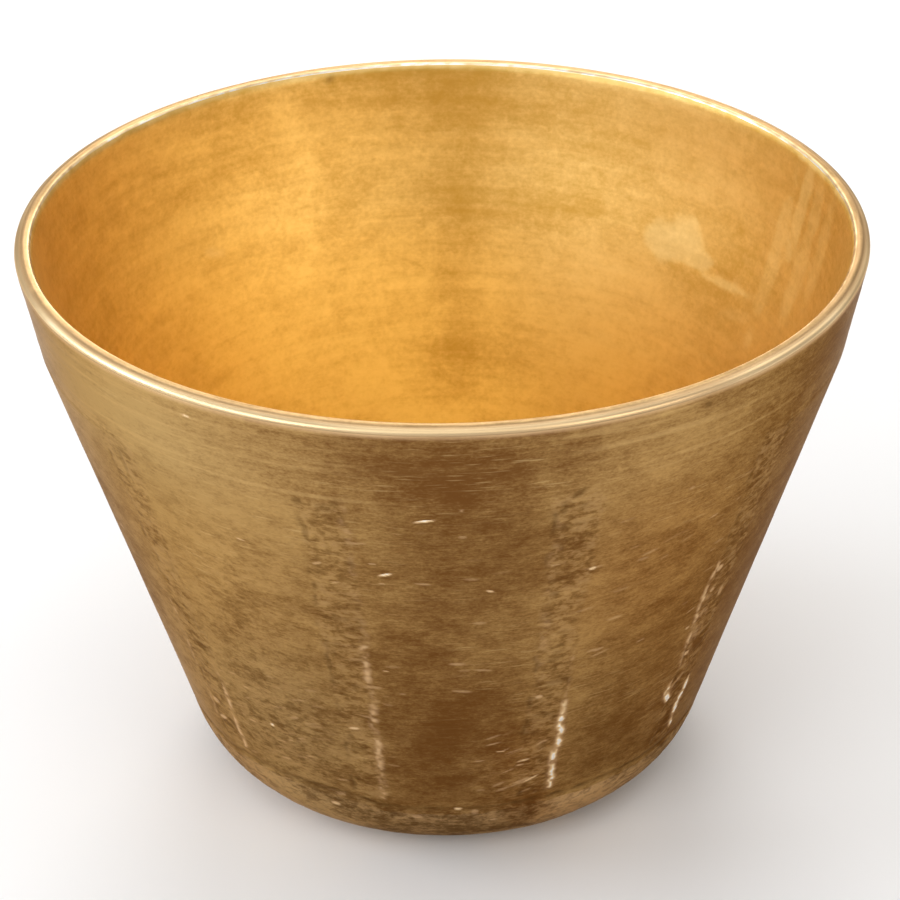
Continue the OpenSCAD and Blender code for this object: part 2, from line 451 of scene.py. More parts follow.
def outside(turn, drop):
    """Relief and masks of the pot's outer face."""
    on_collar = ease((KINK - drop) / (2 * MM) + 0.5)
    on_side = ease((FLAT - 2 * MM - drop) / (8 * MM))
    sway = 0.16 * MM * layered(10, turn, drop, 46 * MM, 34 * MM, 3)
    sanding = 0.008 * MM * noise(13, turn, drop, 14 * MM, 1.0 * MM)
    height, bare, grime, rough = seam_relief(turn, drop)
    nick_height, nick_bare, nick_grime_and_shadow = nick_relief(turn, drop)
    height = height + nick_height + sway * (1 - 0.7 * on_collar) + sanding
    height = height + turning(turn, drop) * on_collar
    height = height * on_side
    bare = np.maximum(bare, nick_bare)
    grime = np.maximum(grime, nick_grime_and_shadow)
    hue = np.clip(0.5 + 0.5 * clouded(HUES, turn, drop), 0, 1)
    return height, np.stack([bare, grime, rough, hue], axis=-1)


# Stains on the inside: turn in degrees, drop, half length round, half length down, slant, strength
STAINS = metres([
    (136.0, 39.5, 9.5, 6.5, 0.10, 1.0),
    (129.0, 42.5, 7.0, 2.6, 0.15, 0.9),
    (120.0, 44.5, 13.0, 1.6, 0.10, 0.7),
    (108.0, 16.0, 3.6, 13.0, 0.0, 0.6),
    (111.5, 30.0, 3.4, 26.0, 0.0, 0.5),
    (103.5, 24.0, 4.0, 19.0, -0.05, 0.5),
    (98.0, 18.0, 4.0, 15.0, -0.10, 0.45),
    (116.0, 50.0, 9.0, 2.6, 0.35, 0.4),
    (224.0, 42.5, 4.5, 1.5, -0.35, 0.7),
    (208.0, 27.0, 1.6, 9.0, 0.0, 0.3),
    (235.0, 52.0, 14.0, 1.6, -0.7, 0.25),
], 1, 2, 3)

# Lighter and darker clouds on the inside. Some are painted reflections: the light ones either side
# of the far wall (207 and 150), the dark band down its middle (177, 50) and the dark band just under
# the back of the lip (180, 4). The others are tone.
INNER_TONES_AND_REFLECTIONS = metres([
    (207, 30, 10, 26, 0.35),
    (152, 25, 18, 10, 0.10),
    (164, 40, 20, 16, -0.30),
    (198, 42, 12, 10, -0.35),
    (118, 72, 16, 14, -0.30),
    (178, 86, 14, 16, -0.40),
    (238, 74, 14, 10, -0.35),
    (150, 66, 26, 18, 0.35),
    (177, 50, 7, 50, -0.45),
    (180, 4, 34, 14, -0.75),
    (160, 40, 24, 5, -0.35),
    (164, 84, 20, 7, -0.35),
    (120, 40, 14, 10, -0.40),
    (128, 50, 18, 4, -0.50),
    (122, 58, 10, 8, -0.25),
    (232, 60, 26, 26, 0.25),
    (280, 16, 14, 18, 0.80),
], 1, 2, 3)
INNER_NICK = (198, 3 * MM, 1.4 * MM, 0.5 * MM, 1.0)


def inside(turn, drop):
    """Relief, towards the axis, and masks of the pot's inner face."""
    radius = outline(drop)[0]
    sway = 0.10 * MM * layered(110, turn, drop, 60 * MM, 50 * MM, 2)
    rings = 0.012 * MM * noise(113, turn, drop, 150 * MM, 1.8 * MM)
    stain = np.zeros_like(drop)
    ragged = 0.45 * layered(120, turn, drop, 7 * MM, 6 * MM, 3)
    for degrees, at, across, down, slant, strength in STAINS:
        du = turn_past(turn, degrees) * radius
        dv = drop - at - slant * du
        reach = np.sqrt((du / across) ** 2 + (dv / down) ** 2) + ragged
        stain = np.maximum(stain, strength * ease((1.35 - reach) / 0.7))
    dark = 0.4 * clouded([INNER_NICK], turn, drop, radius)
    # Tone of the inside: lighter further down, with the clouds above, which hold painted reflections
    tone = 0.5 + 0.26 * ease((drop - 20 * MM) / (80 * MM)) + 0.5 * clouded(INNER_TONES_AND_REFLECTIONS, turn, drop, radius)
    reach = np.clip(INNER_BEND - np.abs(drop - KINK), 0, None)
    fillet = reach**2 * math.tan((WALL_FLARE - COLLAR_FLARE) / 2) / (2 * INNER_BEND)
    return sway + rings + fillet, np.stack([stain, dark, tone, np.ones_like(drop)], axis=-1)


# Tone of the outside, from -1 dark to 1 light: first by turn in degrees, then clouds. It is partly
# patina and partly painted light and shade: lighter on the left, where the light falls, darker on the
# right, in shade, and a painted dark reflection at the front middle.
TONES_AND_PAINTED_SHADING = [(-180, 0.0), (-130, 0.4), (-90, 0.0), (-62, 0.45), (-38, 0.55), (-17, 0.15), (0, -0.75),
         (10, -0.55), (22, 0.3), (42, 0.0), (66, -0.9), (100, -0.6), (140, 0.2), (180, 0.0)]
# Among these, painted shade and light: the dark clouds at the front middle, on the collar (0, 12) and
# on the wall (-1, 98), are painted dark reflections, and the light ones high on the left (-58, -45,
# -32) are painted light. The others are tone.
CLOUDS_AND_PAINTED_SHADING = metres([
    (-1, 98, 11, 15, -0.6),
    (-30, 112, 26, 26, -0.5),
    (-32, 24, 22, 20, 0.5),
    (28, 16, 18, 10, 0.4),
    (34, 36, 18, 14, -0.35),
    (36, 108, 26, 36, -1.0),
    (12, 62, 14, 18, 0.25),
    (-72, 70, 22, 30, -0.9),
    (150, 90, 30, 30, -0.5),
    (215, 50, 26, 24, 0.5),
    (0, 12, 22, 9, -1.0),
    (34, 136, 20, 8, 1.0),
    (27, 137, 12, 8, 1.1),
    (17, 134, 7, 7, -1.2),
    (-14, 136, 10, 8, -0.7),
    (-34, 136, 14, 8, 0.5),
    (-58, 10, 12, 14, 0.5),
    (-45, 9, 24, 11, 0.6),
], 1, 2, 3)

# Clouds of hue of the patina: over 0 ruddy, under 0 olive
HUES = metres([
    (32, 52, 26, 34, 0.9),
    (14, 112, 12, 16, 0.7),
    (17, 134, 8, 8, 0.9),
    (46, 104, 18, 26, 0.5),
    (-34, 106, 28, 34, -0.9),
    (-46, 16, 34, 24, -0.7),
    (-26, 136, 20, 8, -0.8),
    (120, 70, 40, 40, 0.5),
    (225, 80, 40, 50, -0.5),
], 1, 2, 3)


# Tone of the outside, with its painted light and shade, from the two tables above
def tone_and_shading_of(turn, drop):
    at, tones = zip(*TONES_AND_PAINTED_SHADING)
    return np.interp(np.degrees(turn_past(turn, 0)), at, tones) + clouded(CLOUDS_AND_PAINTED_SHADING, turn, drop)


# ---------------------------------------------------------------- meshes
class Patch:
    """Vertices, faces, face materials and masks of one closed piece, gathered part by part."""

    def __init__(self):
        self.points, self.marks, self.flow, self.tones = [], [], [], []
        self.faces, self.slots = [], []
        self.count = 0

    def add_points(self, points, marks, flow):
        """Adds a grid of points and gives its vertex numbers."""
        shape = points.shape[:-1]
        size = int(np.prod(shape))
        self.points.append(points.reshape(-1, 3))
        self.marks.append(marks.reshape(-1, 4))
        self.flow.append(flow.reshape(-1, 2))
        self.tones.append(tone_and_shading_of(flow[..., 0].ravel() / MEAN_R, -flow[..., 1].ravel()))
        numbers = np.arange(self.count, self.count + size).reshape(shape)
        self.count += size
        return numbers

    def add_faces(self, faces, slot):
        faces = np.asarray(faces)
        self.faces.append(faces)
        self.slots.append(np.full(len(faces), slot))

    def add_joint(self, edge, back, step, flip=False):
        """Faces between an outer border and an inner one with step times fewer cells. They have
        vertices of their own, which keeps the corner sharp and the shading on both sides clean."""
        points = np.concatenate(self.points)
        both = points[np.concatenate([edge, back])]
        own = self.add_points(both, np.tile(UNMARKED, (len(both), 1)), np.zeros((len(both), 2)))
        edge, back = own[: len(edge)], own[len(edge) :]
        faces = []
        for k in range(0, len(edge) - 1, step):
            face = [*edge[k : k + step + 1], back[k // step + 1], back[k // step]]
            faces.append(face[::-1] if flip else face)
        self.add_faces(faces, JOINT_FACE)

    def add_grid(self, numbers, slot, flip=False):
        """Faces over a grid of vertex numbers, whose rows run down and columns round."""
        a, b = numbers[:-1, :-1], numbers[1:, :-1]
        c, d = numbers[1:, 1:], numbers[:-1, 1:]
        order = [a, d, c, b] if flip else [a, b, c, d]
        self.add_faces(np.stack([n.ravel() for n in order], axis=1), slot)

    def build(self, name, materials):
        """The mesh object, with the masks as the attributes marks and tone, and flow as its UV map."""
        points = np.concatenate(self.points)
        loops = np.concatenate([f.ravel() for f in self.faces])
        sizes = np.concatenate([np.full(len(f), f.shape[1]) for f in self.faces])
        mesh = bpy.data.meshes.new(name)
        mesh.vertices.add(len(points))
        mesh.vertices.foreach_set("co", points.ravel().astype(np.float32))
        mesh.loops.add(len(loops))
        mesh.loops.foreach_set("vertex_index", loops.astype(np.int32))
        mesh.polygons.add(len(sizes))
        starts = np.concatenate([[0], np.cumsum(sizes)[:-1]])
        mesh.polygons.foreach_set("loop_start", starts.astype(np.int32))
        mesh.polygons.foreach_set("material_index", np.concatenate(self.slots).astype(np.int32))
        mesh.update(calc_edges=True)
        marks = mesh.attributes.new("marks", "FLOAT_COLOR", "POINT")
        marks.data.foreach_set("color", np.concatenate(self.marks).ravel().astype(np.float32))
        # The tone attribute, with the painted light and shade of the outside
        tone = mesh.attributes.new("tone", "FLOAT", "POINT")
        tone.data.foreach_set("value", np.concatenate(self.tones).astype(np.float32))
        flow = np.concatenate(self.flow)[loops]
        # A face that crosses the back keeps its corners together
        first = np.repeat(flow[starts, 0], sizes)
        turn_round = 2 * math.pi * MEAN_R
        flow[:, 0] -= turn_round * np.round((flow[:, 0] - first) / turn_round)
        uv = mesh.uv_layers.new(name="flow")
        uv.data.foreach_set("uv", flow.ravel().astype(np.float32))
        for material in materials:
            mesh.materials.append(material)
        mesh.validate()
        piece = bpy.data.objects.new(name, mesh)
        bpy.context.scene.collection.objects.link(piece)
        return piece


def flow_of(turn, drop):
    return np.stack([turn * MEAN_R, -drop], axis=-1)


def plate_patch(turn, drop, inner_turn, inner_drop, step, around=False, capped=False):
    """A piece of the plate: an outer grid, an inner grid step times coarser, and the joint faces
    between their borders. It may go around the whole pot, and be capped in the middle like a pan."""
    patch = Patch()
    out, marks = outside(turn, drop)
    outer = patch.add_points(place(turn, drop, out), marks, flow_of(turn, drop))
    rise, inner_marks = inside(inner_turn, inner_drop)
    depth = -PLATE - rise
    inner = patch.add_points(
        place(inner_turn, inner_drop, depth), inner_marks, flow_of(inner_turn, inner_drop)
    )
    if around:
        outer = np.concatenate([outer, outer[:, :1]], axis=1)
        inner = np.concatenate([inner, inner[:, :1]], axis=1)
    patch.add_grid(outer, OUTER_FACE)
    patch.add_grid(inner, INNER_FACE, flip=True)

    patch.add_joint(outer[0], inner[0], step)
    if not capped:
        patch.add_joint(outer[-1], inner[-1], step, flip=True)
    if not around:
        patch.add_joint(outer[:, 0], inner[:, 0], step, flip=True)
        patch.add_joint(outer[:, -1], inner[:, -1], step)
    if capped:
        caps = [(outer[-1], 0.0, marks, OUTER_FACE), (inner[-1], PLATE, inner_marks, INNER_FACE)]
        for rim, height, near_marks, slot in caps:
            point, flow = np.array([[0.0, 0.0, height]]), np.array([[0.0, -END]])
            middle = patch.add_points(point, near_marks[-1:, 0], flow)[0]
            fan = np.stack([rim[:-1], np.full(len(rim) - 1, middle), rim[1:]], axis=1)
            patch.add_faces(fan if slot == OUTER_FACE else fan[:, ::-1], slot)
    return patch


def inner_edge(k, side, drop):
    """Turn of upright seam k's edge on the inner face, where the seam is narrow and straight."""
    half = SEAM_HALF - PLATE * math.tan(EDGE_BEVEL) / outline(drop)[0]
    return seam_turn(k) + side * np.maximum(half, 0.4 * MM / outline(drop)[0])


def wall_grid(left, right, rows, columns):
    """Outer and inner grids of a stave or an upright seam. Left and right are each the number of an
    upright seam and the side of it that bounds the piece."""
    v = np.linspace(0, 1, rows + 1)[:, None]
    u = np.linspace(0, 1, columns + 1)[None, :]
    guide = KINK + COLLAR_SEAM_W / 2 + v * (BASE_SEAM - BASE_SEAM_W / 2 - KINK - COLLAR_SEAM_W / 2)
    turn = seam_edge(*left, guide) * (1 - u) + seam_edge(*right, guide) * u
    top, bottom = ring_edge("collar", 1, turn), ring_edge("base", -1, turn)
    drop = top * (1 - v) + bottom * v
    inner_turn = inner_edge(*left, guide) * (1 - u) + inner_edge(*right, guide) * u
    inner_top = ring_edge("collar", 1, inner_turn) - RING_SHIFT
    inner_bottom = ring_edge("base", -1, inner_turn) + RING_SHIFT
    inner_drop = inner_top * (1 - v) + inner_bottom * v
    return turn, drop, inner_turn, inner_drop


def coarse(grid):
    return grid[::STEP, ::STEP]


def wall_piece(left, right, columns):
    turn, drop, inner_turn, inner_drop = wall_grid(left, right, WALL_ROWS, columns)
    return plate_patch(turn, drop, coarse(inner_turn), coarse(inner_drop), STEP)


def wall_stave(i):
    """Stave i, counted from 0 at the front towards +X."""
    return wall_piece((i - 1, 1), (i, -1), STAVE_COLUMNS)


def upright_seam(i):
    """The upright seam on the +X side of stave i."""
    return wall_piece((i, -1), (i, 1), SEAM_COLUMNS)


def ring_patch(upper, lower, rows, columns, upper_shift, lower_shift, crowd=1.0, capped=False):
    """A closed ring between two edges, given as functions of the turn that give the drop. A crowd
    over 1 puts the rows closer together near the upper edge."""
    turn = np.linspace(-math.pi, math.pi, columns, endpoint=False)[None, :]
    v = np.linspace(0, 1, rows + 1)[:, None] ** crowd
    turn = np.repeat(turn, rows + 1, axis=0)
    drop = upper(turn) * (1 - v) + lower(turn) * v
    inner_drop = drop + (1 - v) * upper_shift + v * lower_shift
    return plate_patch(turn, drop, coarse(turn), coarse(inner_drop), STEP, around=True, capped=capped)


def ring_seam(ring, rows):
    return ring_patch(
        lambda t: ring_edge(ring, -1, t), lambda t: ring_edge(ring, 1, t),
        rows, RING_COLUMNS, RING_SHIFT, -RING_SHIFT,
    )


def base_pan():
    last_ring = END - 1.5 * MM
    return ring_patch(
        lambda t: ring_edge("base", 1, t), lambda t: np.full_like(t, last_ring),
        PAN_ROWS, PAN_COLUMNS, -RING_SHIFT, 0.0, crowd=1.7, capped=True,
    )


def lip_surface(turn):
    """Points, masks and flow of the lip: the outer rounding, the flat top, which is very slightly
    crowned, and the inner chamfer."""
    arc = np.linspace(-COLLAR_FLARE, math.pi / 2, LIP_ARC_POINTS)[1:]
    lip_in = TOP_R - PLATE / math.cos(COLLAR_FLARE)
    across = np.linspace(0, 1, LIP_FLAT_POINTS)[1:]
    flat_r = LIP_C.x + (lip_in + LIP_CHAMFER - LIP_C.x) * across
    crown = 0.12 * MM * np.sin(math.pi * across)
    r = np.concatenate([LIP_C.x + LIP_ROUND * np.cos(arc), flat_r, [lip_in]])
    z = np.concatenate([LIP_C.y + LIP_ROUND * np.sin(arc), HEIGHT + crown, [HEIGHT - LIP_CHAMFER]])
    r, z = np.repeat(r[:, None], COLLAR_COLUMNS, 1), np.repeat(z[:, None], COLLAR_COLUMNS, 1)
    turn = np.repeat(turn, len(r), axis=0)
    over = (TOP_R - r) + 2 * MM  # stands in for a drop, so that the noise runs across the lip
    file_marks = 0.018 * MM * noise(30, turn, over, 60 * MM, 0.5 * MM)
    wobble = 0.05 * MM * noise(31, turn, over, 30 * MM, 3 * MM)
    r = r + wobble
    z = z + file_marks + wobble - 0.12 * MM
    points = np.stack([r * np.sin(turn), -r * np.cos(turn), z], axis=-1)

    # The flat is dull, with level lines, which are lighter towards the back: painted light. Its rounded
    # outer edge is rubbed bright, and its inner edge has a painted highlight, strongest at the back
    lines = 0.17 + 0.14 * (0.5 - 0.5 * np.cos(turn))
    lines = lines + 0.12 * noise(32, turn, over, 50 * MM, 0.7 * MM)
    lines = lines + 0.05 * noise(33, turn, over, 5 * MM, 0.5 * MM)
    edge = ease((r - LIP_C.x + 0.5 * MM) / (0.9 * LIP_ROUND))
    worn = 0.68 + 0.14 * noise(34, turn, over, 12 * MM, 3 * MM)
    fade = ease((z - LIP_C.y) / (0.5 * LIP_ROUND) + 0.6)
    # Painted highlight along the inner edge, growing from none at the front to full at the back
    inner_edge_highlight = np.sqrt(np.abs(np.sin(turn / 2))) * ease((lip_in + 0.9 * MM - r) / (0.6 * MM))
    inner_edge_highlight = inner_edge_highlight * (0.6 + 0.3 * noise(35, turn, over, 1.6 * MM, 0.6 * MM))
    marks = np.tile(UNMARKED, (*r.shape, 1))
    marks[..., 0] = lines * (1 - edge) + worn * edge * fade + inner_edge_highlight
    return points, marks, flow_of(turn, -over)


def rim_collar():
    """The collar, as a loop of points swept round the axis: outer face, lip, inner face, joint."""
    turn = np.linspace(-math.pi, math.pi, COLLAR_COLUMNS, endpoint=False)[None, :]
    foot = ring_edge("collar", -1, turn)
    v = np.linspace(0, 1, COLLAR_ROWS + 1)[:, None]
    drop = foot * (1 - v) + LIP_DROP * v
    turns = np.repeat(turn, COLLAR_ROWS + 1, axis=0)
    out, marks = outside(turns, drop)
    out = out * ease((drop - LIP_DROP) / (1.0 * MM))
    rubbed = (0.42 + 0.12 * noise(34, turns, drop, 12 * MM, 3 * MM)) * bell(drop - LIP_DROP, 0.9 * MM)
    marks[..., 0] = np.maximum(marks[..., 0], rubbed)

    v = np.linspace(0, 1, COLLAR_INNER_ROWS + 1)[1:, None]
    chamfer_drop = LIP_CHAMFER / math.cos(COLLAR_FLARE) + PLATE * math.tan(COLLAR_FLARE)
    inner_drop = chamfer_drop * (1 - v) + (foot + RING_SHIFT) * v
    inner_turn = np.repeat(turn, COLLAR_INNER_ROWS, axis=0)
    rise, inner_marks = inside(inner_turn, inner_drop)
    inner = place(inner_turn, inner_drop, -PLATE - rise * ease(inner_drop / (6 * MM)))

    patch = Patch()
    outer_face = patch.add_points(place(turns, drop, out), marks, flow_of(turns, drop))
    lip_face = patch.add_points(*lip_surface(turn))
    inner_face = patch.add_points(inner, inner_marks, flow_of(inner_turn, inner_drop))
    outer_face, lip_face, inner_face = (
        np.concatenate([grid, grid[:, :1]], axis=1) for grid in (outer_face, lip_face, inner_face)
    )
    patch.add_grid(outer_face, OUTER_FACE, flip=True)
    patch.add_grid(np.concatenate([outer_face[-1:], lip_face]), LIP_FACE, flip=True)
    patch.add_grid(np.concatenate([lip_face[-1:], inner_face]), INNER_FACE, flip=True)
    patch.add_joint(outer_face[0], inner_face[-1], 1, flip=True)
    return patch


# ---------------------------------------------------------------- materials
def srgb(r, g, b):
    """A colour given as it looks on a screen, 0 to 255, as linear values."""
    def linear(c):
        c = c / 255
        return c / 12.92 if c <= 0.04045 else ((c + 0.055) / 1.055) ** 2.4
    return (linear(r), linear(g), linear(b), 1.0)


class Nodes:
    """Short names for the few kinds of shader node that the metals use, and for the masks. On inner
    faces bare is the pale stain, grime the dark marks, and rough the tone, with its painted
    reflections."""

    def __init__(self, name):
        self.material = bpy.data.materials.new(name)
        self.material.use_nodes = True
        self.tree = self.material.node_tree
        self.shader = self.tree.nodes["Principled BSDF"]
        self.coords = self.tree.nodes.new("ShaderNodeTexCoord").outputs["Object"]
        marks = self.tree.nodes.new("ShaderNodeVertexColor")
        marks.layer_name = "marks"
        split = self.tree.nodes.new("ShaderNodeSeparateColor")
        self.link(marks.outputs["Color"], split.inputs["Color"])
        self.bare, self.grime, self.rough = (split.outputs[c] for c in ("Red", "Green", "Blue"))
        self.hue = marks.outputs["Alpha"]
        tone = self.tree.nodes.new("ShaderNodeAttribute")
        tone.attribute_name = "tone"
        self.tone = tone.outputs["Fac"]

    def link(self, source, target):
        self.tree.links.new(source, target)

    def put(self, value, target):
        if isinstance(value, (int, float, tuple)):
            target.default_value = value
        else:
            self.link(value, target)

    def noise(self, around, down, detail=3.0, roughness=0.55, shift=0.0, distortion=0.0):
        """Noise with features of that length round the pot and down it, in metres."""
        stretch = self.tree.nodes.new("ShaderNodeMapping")
        stretch.inputs["Scale"].default_value = (1 / around, 1 / around, 1 / down)
        stretch.inputs["Location"].default_value = (shift, shift * 0.7, shift * 1.3)
        self.link(self.coords, stretch.inputs["Vector"])
        node = self.tree.nodes.new("ShaderNodeTexNoise")
        node.inputs["Scale"].default_value = 1.0
        node.inputs["Detail"].default_value = detail
        node.inputs["Roughness"].default_value = roughness
        node.inputs["Distortion"].default_value = distortion
        self.link(stretch.outputs["Vector"], node.inputs["Vector"])
        return node.outputs["Fac"]

    def math(self, operation, a, b=0.0):
        node = self.tree.nodes.new("ShaderNodeMath")
        node.operation = operation
        self.put(a, node.inputs[0])
        self.put(b, node.inputs[1])
        return node.outputs[0]

    def remap(self, value, low, high, to_low=0.0, to_high=1.0):
        """Value from low to high, taken to to_low to to_high, smoothly and with no overshoot."""
        node = self.tree.nodes.new("ShaderNodeMapRange")
        node.interpolation_type = "SMOOTHSTEP"
        self.put(value, node.inputs["Value"])
        for socket, number in zip(("From Min", "From Max", "To Min", "To Max"),
                                  (low, high, to_low, to_high)):
            node.inputs[socket].default_value = number
        return node.outputs["Result"]

    def mix(self, factor, a, b):
        """Mix of two colours, which a colour Mix node takes at inputs 6 and 7 and gives at output 2."""
        node = self.tree.nodes.new("ShaderNodeMix")
        node.data_type = "RGBA"
        self.put(factor, node.inputs[0])
        self.put(a, node.inputs[6])
        self.put(b, node.inputs[7])
        return node.outputs[2]

    def total(self, *terms):
        """Sum of (strength, value) pairs."""
        result = None
        for strength, value in terms:
            term = self.math("MULTIPLY", value, strength)
            result = term if result is None else self.math("ADD", result, term)
        return result

    def finish(self, colour, roughness, relief, bump, anisotropic=0.0):
        """The finished metal, with that relief as a bump of that height."""
        self.link(colour, self.shader.inputs["Base Color"])
        self.link(roughness, self.shader.inputs["Roughness"])
        self.shader.inputs["Metallic"].default_value = 1.0
        self.shader.inputs["Specular Tint"].default_value = EDGE_TINT
        node = self.tree.nodes.new("ShaderNodeBump")
        node.inputs["Strength"].default_value = 1.0
        node.inputs["Distance"].default_value = bump
        self.link(relief, node.inputs["Height"])
        self.link(node.outputs["Normal"], self.shader.inputs["Normal"])
        if anisotropic:
            self.shader.inputs["Anisotropic"].default_value = anisotropic
            tangent = self.tree.nodes.new("ShaderNodeTangent")
            tangent.direction_type = "UV_MAP"
            tangent.uv_map = "flow"
            self.link(tangent.outputs["Tangent"], self.shader.inputs["Tangent"])
        return self.material


# Patina in its lightest and darkest places, on three hues, and on the lip, the pan and the inside
PLAIN_PATINA = srgb(190, 152, 94), srgb(115, 75, 36)
RUDDY_PATINA = srgb(194, 143, 80), srgb(118, 70, 30)
OLIVE_PATINA = srgb(190, 161, 110), srgb(114, 84, 48)
LIP_PATINA = srgb(150, 127, 89), srgb(114, 93, 61)
PAN_PATINA = srgb(214, 176, 126), srgb(116, 86, 51)
INNER_PATINA = srgb(252, 220, 147), srgb(211, 170, 84)
JOINT_METAL = srgb(176, 132, 66), srgb(120, 84, 40)

# What lies on it: scratches, turned lines, the crests and hollows of rough metal, grime, with painted
# shadows beside the nicks, dried stain, and metal rubbed bare little and more, with a painted glint on
# the brightest of it
SCRATCH = srgb(216, 182, 126)
TURNED_LINE = srgb(214, 176, 116)
CREST = srgb(187, 150, 101)
HOLLOW = srgb(98, 62, 28)
GRIME_AND_SHADOW = srgb(86, 56, 26)
STAIN = srgb(255, 232, 168)
RUBBED = srgb(230, 190, 143)
BARE = srgb(253, 224, 174)
PAINTED_GLINT = srgb(255, 248, 236)
EDGE_TINT = (0.62, 0.52, 0.44, 1)
MOTTLE = 0.5  # strength of the crests and hollows
OUTER_BUMP, INNER_BUMP, JOINT_BUMP = 0.05 * MM, 0.03 * MM, 0.1 * MM
BRUSHED = 0.3  # how much reflections stretch across the level scratches


def patinated(name, patina, streak=0.08, around=14 * MM, lines=0.0, rough=(0.36, 0.46), spread=0.26):
    """Sanded brass under a brown patina: soft mottling, fine grain and level scratches, turned lines
    of a given strength, and crests and hollows where the marks say that it is rough. Streak and around
    are the strength and length of its level streaks, rough its roughness where light and where dark,
    and spread how softly light goes over into dark."""
    light, dark = patina
    n = Nodes(name)
    clouds = n.noise(40 * MM, 34 * MM, 3, 0.55, 1.7, 0.4)
    blotch = n.noise(10 * MM, 6 * MM, 4, 0.55, 5.1, 0.3)
    spots = n.noise(3.0 * MM, 1.8 * MM, 3, 0.6, 2.9, 0.5)
    specks = n.noise(2.4 * MM, 0.9 * MM, 2, 0.6, 8.3)
    streaks = n.noise(around, 1.0 * MM, 3, 0.55, 9.3)
    hair = n.noise(5 * MM, 0.3 * MM, 2, 0.5, 3.9)
    grit = n.noise(0.8 * MM, 0.4 * MM, 3, 0.6, 7.7)
    # n.tone brings in the tone of the outside, with its painted light and shade
    plain = n.total((0.32, clouds), (0.34, blotch), (streak, streaks), (0.08, hair), (0.32, grit),
                    (0.26, specks), (0.15, n.tone))
    middle = (1.32 + streak) / 2
    factor = n.remap(plain, middle - spread, middle + spread)
    colour = n.mix(factor, dark, light)
    for share, (hue_light, hue_dark) in (
        (n.remap(n.hue, 0.5, 1.0, 0.0, 0.5), RUDDY_PATINA),
        (n.remap(n.hue, 0.0, 0.5, 0.6, 0.0), OLIVE_PATINA),
    ):
        colour = n.mix(share, colour, n.mix(factor, hue_dark, hue_light))
    strokes = n.remap(n.noise(7 * MM, 0.45 * MM, 1, 0.5, 6.3), 0.60, 0.78)
    strokes = n.math("MULTIPLY", strokes, n.remap(clouds, 0.42, 0.62, 0.05, 0.4))
    colour = n.mix(strokes, colour, SCRATCH)
    if lines:
        turned = n.remap(n.noise(50 * MM, 1.7 * MM, 2, 0.5, 12.1), 0.50, 0.76)
        turned = n.math("MULTIPLY", turned, n.remap(n.tone, -0.9, 0.2, 0.1 * lines, lines))
        colour = n.mix(turned, colour, TURNED_LINE)
    uneven = n.total((0.55, spots), (0.25, blotch), (0.2, specks))
    crests = n.math("MULTIPLY", n.rough, n.remap(uneven, 0.46, 0.62, 0.0, MOTTLE))
    hollows = n.math("MULTIPLY", n.rough, n.remap(uneven, 0.38, 0.54, MOTTLE, 0.0))
    colour = n.mix(crests, colour, CREST)
    colour = n.mix(hollows, colour, HOLLOW)
    # Grime, and the painted shadows beside the nicks
    colour = n.mix(n.math("MULTIPLY", n.grime, 0.7), colour, GRIME_AND_SHADOW)
    colour = n.mix(n.remap(n.bare, 0.0, 0.5, 0.0, 0.6), colour, RUBBED)
    colour = n.mix(n.remap(n.bare, 0.3, 0.9), colour, BARE)
    # Painted glint on the brightest bare metal
    colour = n.mix(n.remap(n.bare, 0.75, 1.0), colour, PAINTED_GLINT)
    shine = n.total((1.0, n.remap(factor, 0, 1, rough[1], rough[0])), (0.05, n.rough),
                    (-0.08, n.bare), (0.08, n.grime))
    relief = n.total((streak, streaks), (0.2, hair), (0.35, grit), (0.2, specks),
                     (0.45, n.math("MULTIPLY", n.rough, spots)))
    return n.finish(colour, shine, relief, OUTER_BUMP, BRUSHED)


def inner_brass():
    """Inside: cleaner, warmer brass with soft level brush marks and pale dried stains."""
    n = Nodes("inner_brass")
    clouds = n.noise(34 * MM, 28 * MM, 3, 0.55, 2.9, 0.5)
    blotch = n.noise(8 * MM, 6 * MM, 5, 0.65, 7.3, 0.6)
    streaks = n.noise(40 * MM, 2.6 * MM, 4, 0.6, 5.7)
    grit = n.noise(1.1 * MM, 0.9 * MM, 3, 0.6, 1.9)
    specks = n.noise(2.4 * MM, 1.8 * MM, 2, 0.6, 6.1)
    # The tone mask, n.rough, brings in the painted reflections of the inside
    tone = n.total((0.38, clouds), (0.42, blotch), (0.32, streaks), (0.25, grit), (0.25, specks),
                   (0.5, n.rough))
    factor = n.remap(tone, 0.76, 1.36)
    light, dark = INNER_PATINA
    colour = n.mix(factor, dark, light)
    broken = n.remap(n.total((0.6, n.bare), (0.4, blotch)), 0.25, 0.62)
    stained = n.math("MULTIPLY", n.bare, broken)
    colour = n.mix(n.math("MULTIPLY", stained, 0.46), colour, STAIN)
    colour = n.mix(n.grime, colour, GRIME_AND_SHADOW)
    shine = n.total((1.0, n.remap(factor, 0, 1, 0.50, 0.42)), (0.12, stained))
    relief = n.total((0.4, streaks), (0.35, blotch), (0.25, grit))
    return n.finish(colour, shine, relief, INNER_BUMP, BRUSHED)


def joint_brass():
    """Bevelled faces inside the joints."""
    n = Nodes("joint_brass")
    grain = n.noise(1.5 * MM, 1.5 * MM, 3, 0.6, 4.1)
    light, dark = JOINT_METAL
    colour = n.mix(grain, dark, light)
    return n.finish(colour, n.remap(grain, 0.3, 0.7, 0.5, 0.65), grain, JOINT_BUMP)


